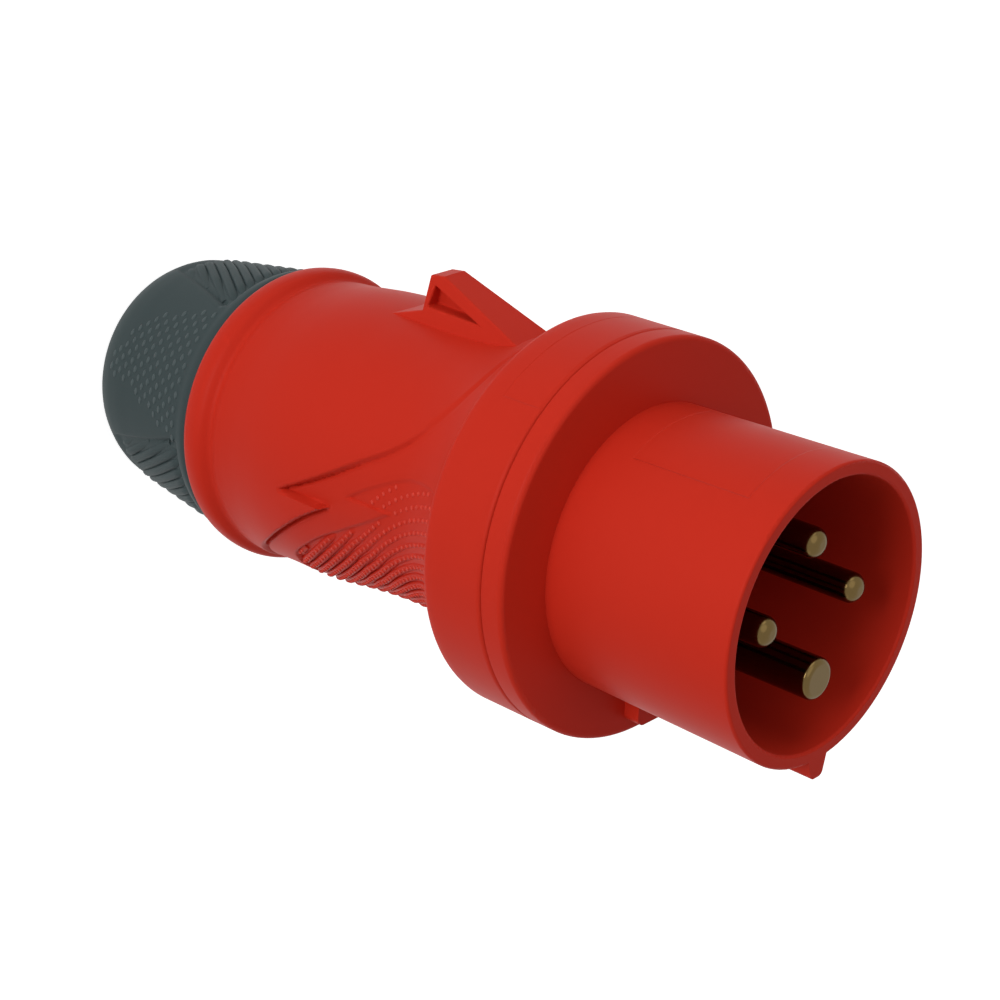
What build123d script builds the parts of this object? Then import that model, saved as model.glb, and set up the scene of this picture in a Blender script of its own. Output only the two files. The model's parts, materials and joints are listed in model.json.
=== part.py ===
from build123d import *
import os
from math import cos, radians, sin

# Industrial pin and sleeve plug, 16 A, three phases and earth, standing on its cable gland nut.
# Millimetres. Z is the plug's axis, up towards the mouth. The catch lug faces -Y, the key +Y.

# Collar that goes into the socket
total_length = 157.0
collar_radius = 24.75
collar_root_radius = 24.2
collar_bore_radius = 22.35
collar_length = 36.2
socket_depth = 42.0
partition_thickness = 3.6
rim_round = 0.5

# Key rib under the collar, at six o'clock, with a thicker block at its root
key_tip_radius = 27.9
key_base_width = 5.2
key_tip_width = 2.8
key_round = 1.1
key_block_radius = 30.6
key_block_width = 8.0
key_block_length = 3.0

# Flange and the housing's grip ring sit a little off the axis, towards the catch lug
flange_radius = 34.1
flange_rise = 0.95
flange_thickness = 4.2
flange_round = 0.9
seam_gap = 0.3
ring_length = 13.0
ring_round = 1.2

# Spigot, with bayonet lugs, that the rear housing locks over
spigot_radius = 29.0
spigot_bore_radius = 26.2
spigot_length = 13.6
spigot_clearance = 0.3
bayonet_count = 3
bayonet_height = 1.8
bayonet_length = 3.0
bayonet_angle = 22.0
bayonet_first_angle = 30.0
bayonet_from_end = 1.6
bayonet_clearance = 0.3
bayonet_turn = 26.0
bayonet_entry_angle = 26.0

# Face seal between the flange and the housing
seal_inner_radius = 31.5
seal_width = 1.2
seal_thickness = 1.25
seal_clearance = 0.05

# Contact pins
pin_circle_radius = 11.1
phase_pin_radius = 2.5
earth_pin_radius = 3.5
phase_tip_depth = 2.2
earth_tip_depth = 0.8
phase_tip_round = 1.9
earth_tip_round = 1.0
pin_clearance = 0.1
pin_root_extra = 0.2
pin_root_height = 0.2
pin_root_taper = 0.4
pin_shoulder_extra = 1.3
pin_shoulder_length = 5.0
pin_tail_radius = 2.9

# Contact carrier and the retainer that traps the pins in it
carrier_radius = 19.4
carrier_gap = 0.2
carrier_thickness = 13.0
retainer_thickness = 2.2
separator_thickness = 1.6
separator_radius = 13.2
separator_length = 12.0
separator_angle = 45.0
carrier_screw_radius = 1.4
carrier_screw_circle = 16.4
carrier_screw_angle = 45.0
carrier_screw_head_radius = 2.5
carrier_screw_head = 1.8
carrier_screw_bite = 1.4
screw_clearance = 0.1
slot_width = 0.8
slot_depth = 0.7

# Terminals behind the retainer
terminal_width = 8.6
terminal_length = 8.5
terminal_back = 3.9
terminal_front = 5.0
terminal_gap = 0.3
terminal_screw_radius = 1.9
terminal_screw_head_radius = 2.9
terminal_screw_head = 1.4

# Rear housing
housing_rear_z = 35.0
housing_rear_radius = 27.4
rear_ring_length = 2.6
rear_ring_round = 0.5
throat_radius = 26.3
throat_z = 43.5
barrel_radius = 27.7
barrel_low_z = 60.0
barrel_high_z = 82.0
shoulder_radius = 32.4
shoulder_mid_radius = 29.0
shoulder_mid_z = 95.0
chamber_radius = 22.0
chamber_shift = 2.0
chamber_top_z = 97.0
shelf_thickness = 4.0
shelf_bore_radius = 11.6
neck_radius = 19.6
neck_bore_radius = 16.5
neck_length = 19.0

# Grip: the flanks and the underside are stepped in from the barrel's skin
grip_low_z = 42.5
waist_z = 82.0
waist_step = 1.9
waist_rise = 2.7

# Grip pads with curved ribs, on both flanks and round the underside
pad_depth = 0.8
rib_pitch = 2.8
rib_width = 1.5
rib_centre_z = 104.0
rib_centre_y = 27.0
rib_first_radius = 8.0
rib_count = 14

# Catch lug for the socket's lid, at twelve o'clock
lug_base_width = 9.6
lug_top_width = 5.0
lug_web = 3.4
lug_top_radius = 35.9
lug_foot_radius = 27.3
lug_foot_z = 67.1
lug_rear_z = 73.6
lug_front_z = 92.3

# Gland
nut_gap = 0.6
nut_front_radius = 26.3
nut_rear_radius = 23.1
nut_round_length = 9.0
nut_end_radius = 16.8
nut_floor = 5.4
nut_hole_radius = 9.6
nut_inner_radius = 16.9
thread_clearance = 0.12
thread_run_out = 2.0
nut_zone_count = 3
nut_zone_ribs = 10
nut_rib_angle = 5.4
nut_rib_width = 1.2
nut_rib_depth = 0.7
nut_zone_middle = -3.0
nut_rib_front_z = 30.8
nut_rib_end_z = 8.0
slip_ring_thickness = 3.0
slip_ring_bore = 10.4
slip_ring_clearance = 0.2
cage_radius = 16.2
cage_bore = 13.7
cage_ring_length = 4.0
cage_finger_count = 12
cage_slot_width = 1.2
cage_gap = 0.25
cable_seal_radius = 13.4
cable_seal_bore = 6.0
cable_seal_length = 17.0
cable_seal_lip = 1.0

# Heights worked out from the sizes above
mouth_z = total_length
flange_face_z = mouth_z - collar_length
seam_z = flange_face_z - flange_thickness
housing_front_z = seam_z - seam_gap
ring_rear_z = housing_front_z - ring_length
floor_z = mouth_z - socket_depth
partition_rear_z = floor_z - partition_thickness
spigot_end_z = seam_z - spigot_length
carrier_front_z = partition_rear_z - carrier_gap
carrier_rear_z = carrier_front_z - carrier_thickness
retainer_front_z = carrier_rear_z - carrier_gap
retainer_rear_z = retainer_front_z - retainer_thickness
shoulder_front_z = carrier_rear_z + pin_shoulder_length
terminal_front_z = retainer_rear_z - terminal_gap
terminal_rear_z = terminal_front_z - terminal_length
nut_front_z = housing_rear_z - nut_gap
neck_end_z = housing_rear_z - neck_length
shelf_top_z = housing_rear_z + shelf_thickness
slip_ring_low_z = nut_floor + slip_ring_clearance
slip_ring_top_z = slip_ring_low_z + slip_ring_thickness
cage_front_z = housing_rear_z - cage_gap
cage_end_z = slip_ring_top_z + cage_gap
cable_seal_end_z = cage_front_z - cable_seal_length
housing_bore_radius = spigot_radius + spigot_clearance
housing_bore_end_z = spigot_end_z - bayonet_clearance
bayonet_low_z = spigot_end_z + bayonet_from_end
bayonet_radius = spigot_radius + bayonet_height
bayonet_groove_radius = bayonet_radius + bayonet_clearance
nut_bore_radius = neck_radius + thread_clearance
nut_bore_end_z = neck_end_z - thread_run_out

# Angle of each pin from +X: phases at nine, twelve and three o'clock, the earth at six
phase_angles = [180, 270, 0]
earth_angle = 90
far_out = 60.0
relief_front_z = ring_rear_z + 0.5

# Sections of the grip surface: height, step in from the barrel's radius, rise off the axis
grip_sections = [
    (housing_rear_z + 3, 1.6, 0.0),
    (housing_rear_z + 14.5, 1.6, 0.5),
    (barrel_low_z, 1.3, 0.4 * waist_rise),
    (waist_z - 12, waist_step - 0.2, 0.75 * waist_rise),
    (waist_z, waist_step, waist_rise),
    (waist_z + 10, waist_step - 0.6, waist_rise),
    (ring_rear_z - 5, -0.9, 0.7 * waist_rise),
    (ring_rear_z + 1, barrel_radius - shoulder_radius + 0.4, flange_rise),
]


def radial_plane(angle):
    # Upright plane through the axis: its x runs outwards at this angle, its y up
    turn = radians(angle)
    return Plane(origin=(0, 0, 0), x_dir=(cos(turn), sin(turn), 0), z_dir=(sin(turn), -cos(turn), 0))


def spoke_plane(angle):
    # Upright plane square to the radius at this angle, with its normal outwards
    turn = radians(angle)
    return Plane(origin=(0, 0, 0), x_dir=(-sin(turn), cos(turn), 0), z_dir=(cos(turn), sin(turn), 0))


def on_circle(radius, angle):
    return (radius * cos(radians(angle)), radius * sin(radians(angle)))


def save(name, part):
    part.label = name
    export_step(part, "parts/" + name + ".step")


os.makedirs("parts", exist_ok=True)

# Front sleeve: collar, partition, flange and spigot are one moulding
with BuildPart() as front_sleeve:
    with BuildSketch(Plane.XZ):
        with BuildLine():
            Polyline(
                (0, partition_rear_z),
                (0, floor_z),
                (collar_bore_radius, floor_z),
                (collar_bore_radius, mouth_z),
                (collar_radius, mouth_z),
                (collar_root_radius, flange_face_z),
                (spigot_radius, flange_face_z),
                (spigot_radius, spigot_end_z),
                (spigot_bore_radius, spigot_end_z),
                (spigot_bore_radius, partition_rear_z),
                (0, partition_rear_z),
            )
        make_face()
    revolve(axis=Axis.Z)
    rim_edges = front_sleeve.edges().filter_by(GeomType.CIRCLE).group_by(Axis.Z)[-1]
    fillet(rim_edges, rim_round)
    with BuildSketch(Plane.XY.offset(seam_z)):
        with Locations((0, -flange_rise)):
            Circle(flange_radius)
        Circle(spigot_radius - 1, mode=Mode.SUBTRACT)
    extrude(amount=flange_thickness)
    flange_edges = front_sleeve.edges().filter_by(GeomType.CIRCLE).sort_by(SortBy.RADIUS)[-2:]
    fillet(flange_edges.sort_by(Axis.Z)[-1], flange_round)
    # Key rib along the whole collar, its end flush with the rim
    with BuildSketch(Plane.XY.offset(flange_face_z)):
        with BuildLine():
            Polyline(
                (-key_base_width / 2, collar_root_radius - 1),
                (key_base_width / 2, collar_root_radius - 1),
                (key_tip_width / 2, key_tip_radius),
                (-key_tip_width / 2, key_tip_radius),
                close=True,
            )
        make_face()
        fillet(vertices().group_by(Axis.Y)[-1], key_round)
    extrude(amount=collar_length)
    with BuildSketch(Plane.XY.offset(flange_face_z)):
        with Locations((0, key_block_radius - 4)):
            RectangleRounded(key_block_width, 8, 1.5)
    extrude(amount=key_block_length)
    # Bayonet lugs on the spigot
    for lug in range(bayonet_count):
        first = bayonet_first_angle + lug * 360 / bayonet_count - bayonet_angle / 2
        with BuildSketch(radial_plane(first)):
            with Locations((spigot_radius - 0.5, bayonet_low_z)):
                Rectangle(bayonet_height + 0.5, bayonet_length, align=(Align.MIN, Align.MIN))
        revolve(axis=Axis.Z, revolution_arc=bayonet_angle)
    # Groove in the flange's back for the face seal
    with BuildSketch(Plane.XY.offset(seam_z)):
        Circle(seal_inner_radius + seal_width + seal_clearance)
        Circle(seal_inner_radius - seal_clearance, mode=Mode.SUBTRACT)
    extrude(amount=seal_thickness - seam_gap + 2 * seal_clearance, mode=Mode.SUBTRACT)
    # Holes for the pins, and blind holes for the carrier's screws
    with BuildSketch(Plane.XY.offset(partition_rear_z)):
        for angle in phase_angles:
            with Locations(on_circle(pin_circle_radius, angle)):
                Circle(phase_pin_radius + pin_root_extra + pin_clearance)
        with Locations(on_circle(pin_circle_radius, earth_angle)):
            Circle(earth_pin_radius + pin_root_extra + pin_clearance)
    extrude(amount=partition_thickness, mode=Mode.SUBTRACT)
    with BuildSketch(Plane.XY.offset(partition_rear_z)):
        with PolarLocations(carrier_screw_circle, 2, start_angle=carrier_screw_angle):
            Circle(carrier_screw_radius + screw_clearance)
    extrude(amount=carrier_screw_bite + screw_clearance, mode=Mode.SUBTRACT)
save("front_sleeve", front_sleeve.part)

# Contact carrier: insulating block with a counterbore behind each pin hole
with BuildPart() as contact_carrier:
    with BuildSketch(Plane.XY.offset(carrier_rear_z)):
        Circle(carrier_radius)
        with PolarLocations(carrier_screw_circle, 2, start_angle=carrier_screw_angle):
            Circle(carrier_screw_radius + screw_clearance, mode=Mode.SUBTRACT)
    extrude(amount=carrier_thickness)
    front_rim = contact_carrier.edges().filter_by(GeomType.CIRCLE).sort_by(SortBy.RADIUS)[-2:]
    chamfer(front_rim, 0.6)
    for angle in phase_angles + [earth_angle]:
        pin_radius = earth_pin_radius if angle == earth_angle else phase_pin_radius
        with BuildSketch(Plane.XY.offset(carrier_rear_z)):
            with Locations(on_circle(pin_circle_radius, angle)):
                Circle(pin_radius + pin_root_extra + pin_clearance)
        extrude(amount=carrier_thickness, mode=Mode.SUBTRACT)
        with BuildSketch(Plane.XY.offset(carrier_rear_z)):
            with Locations(on_circle(pin_circle_radius, angle)):
                Circle(pin_radius + pin_shoulder_extra + pin_clearance)
        extrude(amount=pin_shoulder_length + pin_clearance, mode=Mode.SUBTRACT)
save("contact_carrier", contact_carrier.part)

# Retainer: plate behind the carrier, with cross walls that keep the terminals apart
with BuildPart() as pin_retainer:
    with BuildSketch(Plane.XY.offset(retainer_rear_z)):
        Circle(carrier_radius)
        for angle in phase_angles + [earth_angle]:
            with Locations(on_circle(pin_circle_radius, angle)):
                Circle(pin_tail_radius + pin_clearance, mode=Mode.SUBTRACT)
        with PolarLocations(carrier_screw_circle, 2, start_angle=carrier_screw_angle):
            Circle(carrier_screw_radius + screw_clearance, mode=Mode.SUBTRACT)
    extrude(amount=retainer_thickness)
    with BuildSketch(Plane.XY.offset(retainer_rear_z - separator_length)):
        Rectangle(2 * separator_radius, separator_thickness, rotation=separator_angle)
        Rectangle(2 * separator_radius, separator_thickness, rotation=separator_angle + 90)
    extrude(amount=separator_length)
save("pin_retainer", pin_retainer.part)


def make_pin(pin_radius, tip_depth, tip_round):
    # Turned pin on the axis: shaft, shoulder in the carrier, tail through the retainer
    with BuildPart() as pin:
        with BuildSketch(Plane.XZ):
            with BuildLine():
                Polyline(
                    (0, terminal_rear_z - 1),
                    (pin_tail_radius, terminal_rear_z - 1),
                    (pin_tail_radius, carrier_rear_z),
                    (pin_radius + pin_shoulder_extra, carrier_rear_z),
                    (pin_radius + pin_shoulder_extra, shoulder_front_z),
                    (pin_radius + pin_root_extra, shoulder_front_z),
                    (pin_radius + pin_root_extra, floor_z + pin_root_height),
                    (pin_radius, floor_z + pin_root_height + pin_root_taper),
                    (pin_radius, mouth_z - tip_depth),
                    (0, mouth_z - tip_depth),
                    close=True,
                )
            make_face()
        revolve(axis=Axis.Z)
        fillet(pin.edges().filter_by(GeomType.CIRCLE).sort_by(Axis.Z)[-1], tip_round)
    return pin.part


for count, angle in enumerate(phase_angles, start=1):
    x, y = on_circle(pin_circle_radius, angle)
    with BuildPart() as phase_pin:
        with Locations((x, y, 0)):
            add(make_pin(phase_pin_radius, phase_tip_depth, phase_tip_round))
    save("phase_pin_" + str(count), phase_pin.part)

earth_x, earth_y = on_circle(pin_circle_radius, earth_angle)
with BuildPart() as earth_pin:
    with Locations((earth_x, earth_y, 0)):
        add(make_pin(earth_pin_radius, earth_tip_depth, earth_tip_round))
save("earth_pin", earth_pin.part)

# One clamp frame and one slotted screw on each pin's tail
terminal_mid_z = (terminal_front_z + terminal_rear_z) / 2
screw_start = pin_circle_radius + pin_tail_radius + pin_clearance
screw_seat = pin_circle_radius + terminal_front
for count, angle in enumerate(phase_angles + [earth_angle], start=1):
    with BuildPart() as terminal_frame:
        with BuildSketch(radial_plane(angle)):
            with Locations((pin_circle_radius - terminal_back, terminal_mid_z)):
                Rectangle(terminal_back + terminal_front, terminal_length, align=(Align.MIN, Align.CENTER))
        extrude(amount=terminal_width / 2, both=True)
        chamfer(terminal_frame.edges().filter_by(Axis.Z), 0.6)
        with BuildSketch(Plane.XY.offset(terminal_rear_z)):
            with Locations(on_circle(pin_circle_radius, angle)):
                Circle(pin_tail_radius + pin_clearance)
        extrude(amount=terminal_length, mode=Mode.SUBTRACT)
        with BuildSketch(spoke_plane(angle).offset(pin_circle_radius)):
            with Locations((0, terminal_mid_z)):
                Circle(terminal_screw_radius + screw_clearance)
        extrude(amount=terminal_front, mode=Mode.SUBTRACT)
    save("terminal_frame_" + str(count), terminal_frame.part)
    with BuildPart() as terminal_screw:
        with BuildSketch(spoke_plane(angle).offset(screw_start)):
            with Locations((0, terminal_mid_z)):
                Circle(terminal_screw_radius)
        extrude(amount=screw_seat - screw_start)
        with BuildSketch(spoke_plane(angle).offset(screw_seat)):
            with Locations((0, terminal_mid_z)):
                Circle(terminal_screw_head_radius)
        extrude(amount=terminal_screw_head)
        with BuildSketch(spoke_plane(angle).offset(screw_seat + terminal_screw_head)):
            with Locations((0, terminal_mid_z)):
                Rectangle(2 * terminal_screw_head_radius, slot_width)
        extrude(amount=-slot_depth, mode=Mode.SUBTRACT)
    save("terminal_screw_" + str(count), terminal_screw.part)

# Two screws hold the retainer and the carrier to the partition
with BuildPart() as carrier_screws:
    with BuildSketch(Plane.XY.offset(retainer_rear_z)):
        with PolarLocations(carrier_screw_circle, 2, start_angle=carrier_screw_angle):
            Circle(carrier_screw_radius)
    extrude(amount=partition_rear_z + carrier_screw_bite - retainer_rear_z)
    with BuildSketch(Plane.XY.offset(retainer_rear_z - carrier_screw_head)):
        with PolarLocations(carrier_screw_circle, 2, start_angle=carrier_screw_angle):
            Circle(carrier_screw_head_radius)
    extrude(amount=carrier_screw_head)
    with BuildSketch(Plane.XY.offset(retainer_rear_z - carrier_screw_head)):
        with PolarLocations(carrier_screw_circle, 2, start_angle=carrier_screw_angle):
            Rectangle(2 * carrier_screw_head_radius, slot_width)
    extrude(amount=slot_depth, mode=Mode.SUBTRACT)
save("carrier_screws", carrier_screws.part)

# Face seal in the flange's groove
with BuildPart() as flange_seal:
    with BuildSketch(Plane.XY.offset(housing_front_z + seal_clearance)):
        Circle(seal_inner_radius + seal_width)
        Circle(seal_inner_radius, mode=Mode.SUBTRACT)
    extrude(amount=seal_thickness)
    chamfer(flange_seal.edges(), 0.2)
save("flange_seal", flange_seal.part)


def grip_body(inset):
    # Solid inside the grip surface, set in by this much: round sections that rise off the axis
    with BuildPart() as waist:
        for height, step, rise in grip_sections:
            with BuildSketch(Plane.XY.offset(height)):
                with Locations((0, -rise)):
                    Circle(barrel_radius - step - inset)
        loft()
    return waist.part


# Rear housing: barrel, grip ring, catch lug, gland neck and bayonet groove are one moulding
with BuildPart() as relief:
    # Everything outside the grip surface, in front of the stepped outline on both flanks
    with BuildSketch(Plane.YZ):
        with BuildLine():
            upper = Spline(
                (-28.8, 97.2),
                (-23.2, 95.5),
                (-13.8, 86.7),
                (-5.4, 71.9),
                (0, 61.5),
            )
            tongue = Line(upper @ 1, (0.3, 72.4))
            lower = Spline(tongue @ 1, (8.5, 59.9), (18.9, 46.3), (24.0, grip_low_z))
            Polyline(
                lower @ 1,
                (far_out, grip_low_z),
                (far_out, relief_front_z),
                (-28.8, relief_front_z),
                upper @ 0,
            )
        make_face()
    extrude(amount=far_out, both=True)
    add(grip_body(0), mode=Mode.SUBTRACT)

with BuildSketch() as rib_arcs:
    # Ribs fan out as arcs about one point under the grip ring, drawn from the largest inwards
    with Locations((rib_centre_y, rib_centre_z)):
        for rib in reversed(range(rib_count)):
            Circle(rib_first_radius + rib * rib_pitch + rib_width)
            Circle(rib_first_radius + rib * rib_pitch, mode=Mode.SUBTRACT)

with BuildPart() as pad_grooves:
    # Grooves between the curved ribs, inside the two-lobed pad outline
    with BuildSketch(Plane.YZ):
        with BuildLine():
            top_edge = Spline((-9.6, relief_front_z), (-10.6, 96.0), (-7.5, 85.6), (-2.6, 76.8))
            notch = Line(top_edge @ 1, (-2.8, 87.2))
            low_edge = Spline(notch @ 1, (4.2, 74.7), (11.8, 62.4), (17.7, 56.4))
            Polyline(
                low_edge @ 1,
                (far_out, 56.4),
                (far_out, relief_front_z),
                top_edge @ 0,
            )
        make_face()
        add(rib_arcs.sketch_local, mode=Mode.SUBTRACT)
    extrude(amount=far_out, both=True)
    add(grip_body(pad_depth), mode=Mode.SUBTRACT)

with BuildPart() as chamber:
    # Wiring chamber, following the waist, with a flare up to the spigot
    for height, shift in [
        (shelf_top_z, 0.0),
        (58.0, 0.6),
        (waist_z, chamber_shift),
        (chamber_top_z, chamber_shift),
    ]:
        with BuildSketch(Plane.XY.offset(height)):
            with Locations((0, -shift)):
                Circle(chamber_radius)
    loft()
    with BuildSketch(Plane.XY.offset(chamber_top_z)):
        with Locations((0, -chamber_shift)):
            Circle(chamber_radius)
    with BuildSketch(Plane.XY.offset(housing_bore_end_z)):
        Circle(spigot_bore_radius)
    loft()

# Catch lug, narrower at its top, with a blind pocket in each side
with BuildPart() as catch_lug:
    with BuildSketch(Plane.YZ):
        with BuildLine():
            Polyline(
                (-lug_foot_radius, lug_foot_z),
                (-lug_foot_radius - 2.1, lug_rear_z),
                (-lug_top_radius + 0.3, lug_rear_z + 0.8),
                (-lug_top_radius, lug_rear_z + 4.0),
                (-lug_foot_radius - 1.0, lug_front_z),
                (-lug_foot_radius + 3.0, lug_front_z),
                (-lug_foot_radius + 3.0, lug_foot_z),
                close=True,
            )
        make_face()
    extrude(amount=lug_base_width, both=True)
    with BuildSketch(Plane.XY.offset(lug_foot_z)):
        with BuildLine():
            Polyline(
                (-lug_base_width / 2 - 0.8, -lug_foot_radius + 3.0),
                (lug_base_width / 2 + 0.8, -lug_foot_radius + 3.0),
                (lug_top_width / 2, -lug_top_radius),
                (-lug_top_width / 2, -lug_top_radius),
                close=True,
            )
        make_face()
    extrude(amount=lug_front_z - lug_foot_z, mode=Mode.INTERSECT)
    for side in (-1, 1):
        with BuildSketch(Plane.YZ.offset(side * lug_web / 2)):
            with BuildLine():
                Polyline(
                    (-lug_top_radius + 2.1, lug_rear_z + 2.0),
                    (-lug_foot_radius - 1.7, lug_rear_z + 0.7),
                    (-lug_foot_radius - 1.7, lug_front_z - 6.3),
                    close=True,
                )
            make_face()
        extrude(amount=side * lug_base_width, mode=Mode.SUBTRACT)

with BuildPart() as rear_housing:
    with BuildSketch(Plane.XZ):
        with BuildLine():
            rear_ring_z = housing_rear_z + rear_ring_length
            side = Spline(
                (housing_rear_radius, rear_ring_z),
                (throat_radius, throat_z),
                (barrel_radius, barrel_low_z),
                (barrel_radius, barrel_high_z),
                (shoulder_mid_radius, shoulder_mid_z),
                (shoulder_radius, ring_rear_z),
            )
            Polyline(
                side @ 1,
                (shoulder_radius, housing_front_z),
                (0, housing_front_z),
                (0, neck_end_z),
                (neck_radius, neck_end_z),
                (neck_radius, housing_rear_z),
                (housing_rear_radius, housing_rear_z),
                side @ 0,
            )
        make_face()
    revolve(axis=Axis.Z)
    rear_edges = rear_housing.edges().filter_by(GeomType.CIRCLE).filter_by_position(
        Axis.Z, housing_rear_z - 0.01, housing_rear_z + 0.01
    )
    fillet(rear_edges.sort_by(SortBy.RADIUS)[-1], rear_ring_round)
    add(relief.part, mode=Mode.SUBTRACT)
    add(pad_grooves.part, mode=Mode.SUBTRACT)
    # Grip ring, off the axis like the flange
    with BuildSketch(Plane.XY.offset(ring_rear_z)):
        with Locations((0, -flange_rise)):
            Circle(flange_radius)
    extrude(amount=ring_length)
    ring_edges = rear_housing.edges().filter_by(GeomType.CIRCLE).sort_by(SortBy.RADIUS)[-2:]
    fillet(ring_edges.sort_by(Axis.Z)[0], ring_round)
    fillet(rear_housing.edges().filter_by(GeomType.CIRCLE).sort_by(Axis.Z)[-1], seam_gap)
    add(catch_lug.part)
    # Inside: chamber, spigot bore, bayonet groove with its entries, gland neck
    add(chamber.part, mode=Mode.SUBTRACT)
    with BuildSketch(Plane.XY.offset(housing_bore_end_z)):
        Circle(housing_bore_radius)
    extrude(amount=housing_front_z - housing_bore_end_z, mode=Mode.SUBTRACT)
    with BuildSketch(Plane.XY.offset(bayonet_low_z - bayonet_clearance)):
        Circle(bayonet_groove_radius)
    extrude(amount=bayonet_length + 2 * bayonet_clearance, mode=Mode.SUBTRACT)
    for lug in range(bayonet_count):
        middle = bayonet_first_angle + bayonet_turn + lug * 360 / bayonet_count
        with BuildSketch(radial_plane(middle - bayonet_entry_angle / 2)):
            with Locations((housing_bore_radius - 1, bayonet_low_z)):
                Rectangle(
                    bayonet_groove_radius - housing_bore_radius + 1,
                    housing_front_z - bayonet_low_z,
                    align=(Align.MIN, Align.MIN),
                )
        revolve(axis=Axis.Z, revolution_arc=bayonet_entry_angle, mode=Mode.SUBTRACT)
    with BuildSketch(Plane.XY.offset(housing_rear_z)):
        Circle(shelf_bore_radius)
    extrude(amount=shelf_thickness, mode=Mode.SUBTRACT)
    with BuildSketch(Plane.XY.offset(neck_end_z)):
        Circle(neck_bore_radius)
    extrude(amount=neck_length, mode=Mode.SUBTRACT)
save("rear_housing", rear_housing.part)

# Rubber seal round the cable, with a lip ring at its outer end
with BuildPart() as cable_seal:
    with BuildSketch(Plane.XZ):
        with BuildLine():
            Polyline(
                (cable_seal_bore, cable_seal_end_z),
                (cable_seal_radius - cable_seal_lip, cable_seal_end_z),
                (cable_seal_radius, cable_seal_end_z + 2 * cable_seal_lip),
                (cable_seal_radius, cage_front_z),
                (cable_seal_bore, cage_front_z),
                close=True,
            )
        make_face()
    revolve(axis=Axis.Z)
save("cable_seal", cable_seal.part)

# Clamp cage: a ring with fingers that the slip ring squeezes onto the seal
with BuildPart() as clamp_cage:
    with BuildSketch(Plane.XZ):
        with BuildLine():
            Polyline(
                (cage_bore, cage_end_z),
                (cage_radius - 1.2, cage_end_z),
                (cage_radius, cage_end_z + 3),
                (cage_radius, cage_front_z),
                (cage_bore, cage_front_z),
                close=True,
            )
        make_face()
    revolve(axis=Axis.Z)
    with BuildSketch(Plane.XY.offset(cage_end_z)):
        with PolarLocations(0, cage_finger_count):
            with Locations((cage_radius, 0)):
                Rectangle(cage_radius, cage_slot_width)
    extrude(amount=cage_front_z - cage_ring_length - cage_end_z, mode=Mode.SUBTRACT)
save("clamp_cage", clamp_cage.part)

# Slip ring that travels with the nut without turning
with BuildPart() as slip_ring:
    with BuildSketch(Plane.XY.offset(slip_ring_low_z)):
        Circle(cage_radius)
        Circle(slip_ring_bore, mode=Mode.SUBTRACT)
    extrude(amount=slip_ring_thickness)
    chamfer(slip_ring.edges().filter_by(GeomType.CIRCLE).sort_by(SortBy.RADIUS)[:2], 0.8)
save("slip_ring", slip_ring.part)


def nut_wall_radius(height):
    # Radius of the nut's cone at this height
    cone = (nut_front_radius - nut_rear_radius) / (nut_front_z - nut_round_length)
    return nut_rear_radius + (height - nut_round_length) * cone


# Grooves between the nut's ribs, sunk along its cone
with BuildPart() as nut_grooves:
    for zone in range(nut_zone_count):
        for groove in range(nut_zone_ribs):
            offset = (groove - (nut_zone_ribs - 1) / 2) * nut_rib_angle
            angle = 270 + nut_zone_middle + offset + zone * 360 / nut_zone_count
            with BuildSketch(radial_plane(angle)):
                with BuildLine():
                    Polyline(
                        (nut_wall_radius(nut_rib_front_z) - nut_rib_depth, nut_rib_front_z),
                        (far_out, nut_rib_front_z),
                        (far_out, nut_rib_end_z),
                        (nut_wall_radius(nut_rib_end_z) - nut_rib_depth, nut_rib_end_z),
                        close=True,
                    )
                make_face()
            extrude(amount=nut_rib_width / 2, both=True)

# Gland nut: conical cap over the neck, with ribbed finger zones
with BuildPart() as gland_nut:
    with BuildSketch(Plane.XZ):
        with BuildLine():
            wall = Line((nut_front_radius, nut_front_z), (nut_rear_radius, nut_round_length))
            heel = TangentArc(
                wall @ 1,
                (nut_end_radius, 0),
                tangent=wall % 1,
            )
            Polyline(
                heel @ 1,
                (nut_hole_radius, 0),
                (nut_hole_radius, nut_floor),
                (nut_inner_radius, nut_floor),
                (nut_inner_radius, nut_bore_end_z),
                (nut_bore_radius, nut_bore_end_z),
                (nut_bore_radius, nut_front_z),
                wall @ 0,
            )
        make_face()
    revolve(axis=Axis.Z)
    add(nut_grooves.part, mode=Mode.SUBTRACT)
save("gland_nut", gland_nut.part)
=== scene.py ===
import bmesh
import bpy
import json
import math
import numpy as np
from mathutils import Matrix, Vector


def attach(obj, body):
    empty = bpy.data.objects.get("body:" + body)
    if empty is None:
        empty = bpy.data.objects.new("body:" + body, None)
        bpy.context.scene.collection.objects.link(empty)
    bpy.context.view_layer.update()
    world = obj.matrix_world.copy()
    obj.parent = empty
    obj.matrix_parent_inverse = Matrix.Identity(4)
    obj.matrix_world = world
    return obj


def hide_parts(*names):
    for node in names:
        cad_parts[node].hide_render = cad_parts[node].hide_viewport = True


# Industrial pin and sleeve plug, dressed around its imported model. Metres; the plug stands on its nut.
print("loading the frame")
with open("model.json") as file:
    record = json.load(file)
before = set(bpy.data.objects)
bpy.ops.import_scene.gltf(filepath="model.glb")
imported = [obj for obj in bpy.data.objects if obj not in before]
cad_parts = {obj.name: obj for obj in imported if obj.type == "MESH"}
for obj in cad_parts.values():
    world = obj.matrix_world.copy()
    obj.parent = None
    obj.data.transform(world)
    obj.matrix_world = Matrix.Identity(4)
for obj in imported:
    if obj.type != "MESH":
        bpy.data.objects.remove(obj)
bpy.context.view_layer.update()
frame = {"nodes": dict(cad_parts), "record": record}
nodes = frame["nodes"]
mm = 0.001

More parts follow.
